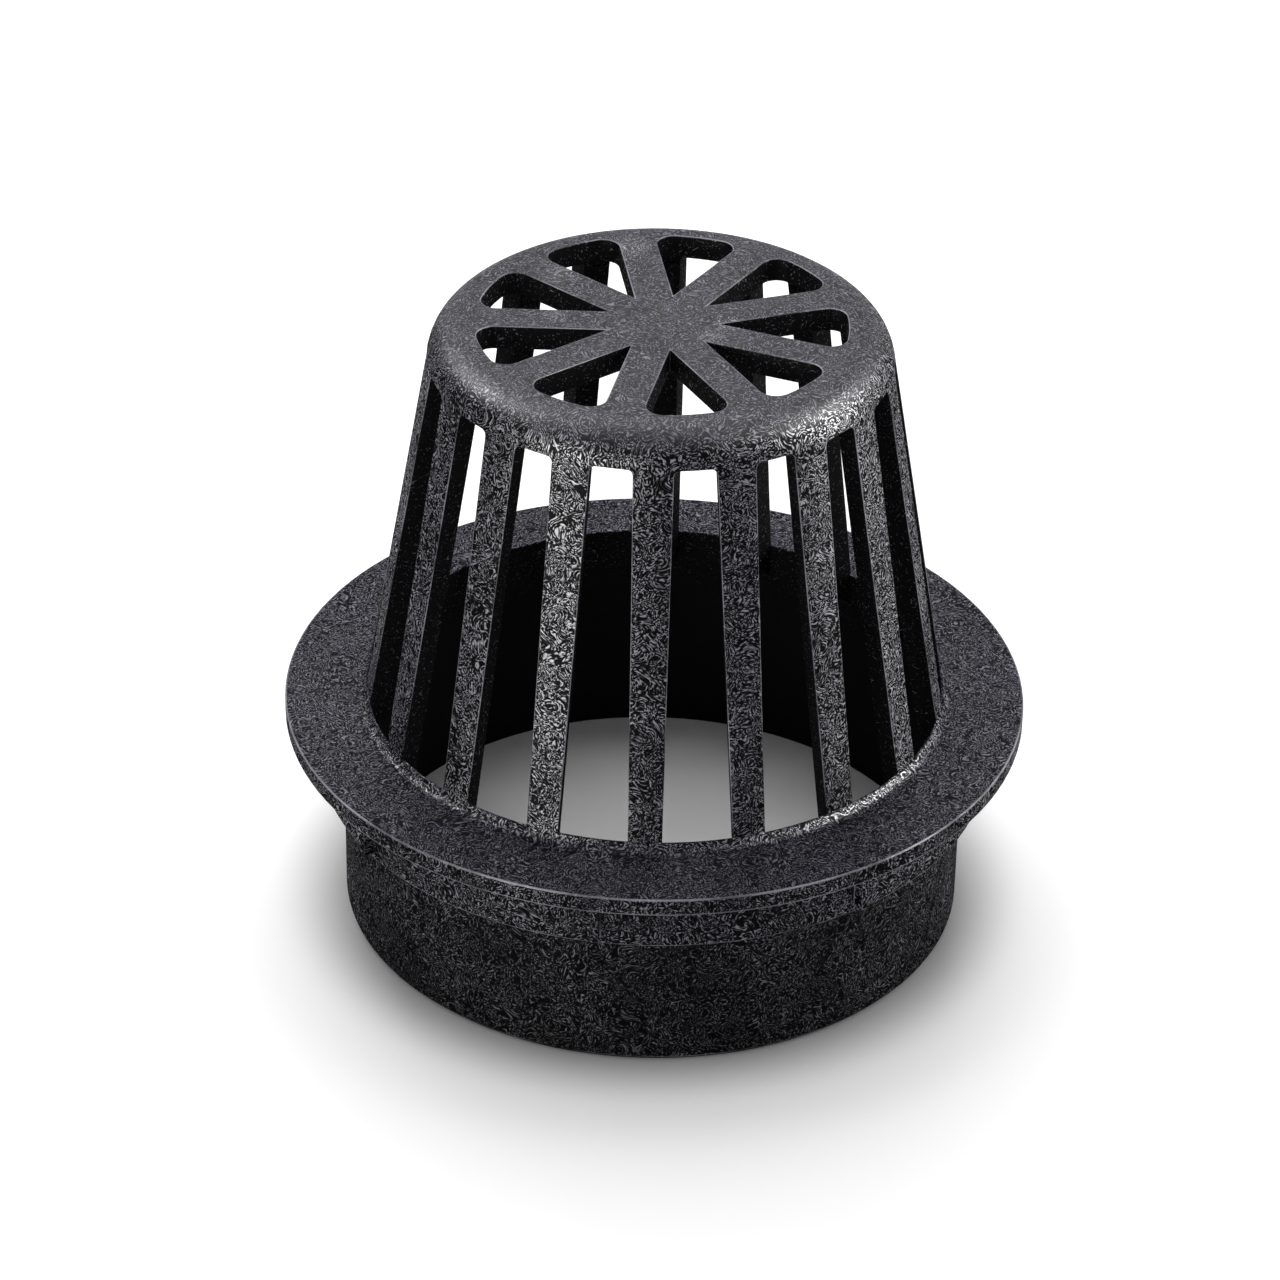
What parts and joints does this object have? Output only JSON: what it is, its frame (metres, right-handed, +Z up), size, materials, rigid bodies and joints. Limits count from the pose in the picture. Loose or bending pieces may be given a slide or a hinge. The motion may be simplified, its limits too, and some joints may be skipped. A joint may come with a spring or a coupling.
{
  "type": "atrium grate",
  "caption": "One-piece black plastic atrium grate: a domed cage of ribs under a slotted crown, on a flange with a short seating skirt and a longer skirt that drops into a drain pipe.",
  "frame": {"origin": "centre of the long skirt's bottom rim, on the grate's axis", "axes": "+Z up the axis to the crown; ribs of the cage stand on the Y axis and a window and a crown slot point along +X"},
  "size_m": [0.116, 0.116, 0.1016],
  "materials": {
    "black_plastic": "charcoal black, moulded with a fine fibrous grain, satin, a little scuffed on the crown"
  },
  "bodies": {
    "root": {"atrium_grate": "black_plastic"}
  },
  "joints": []
}
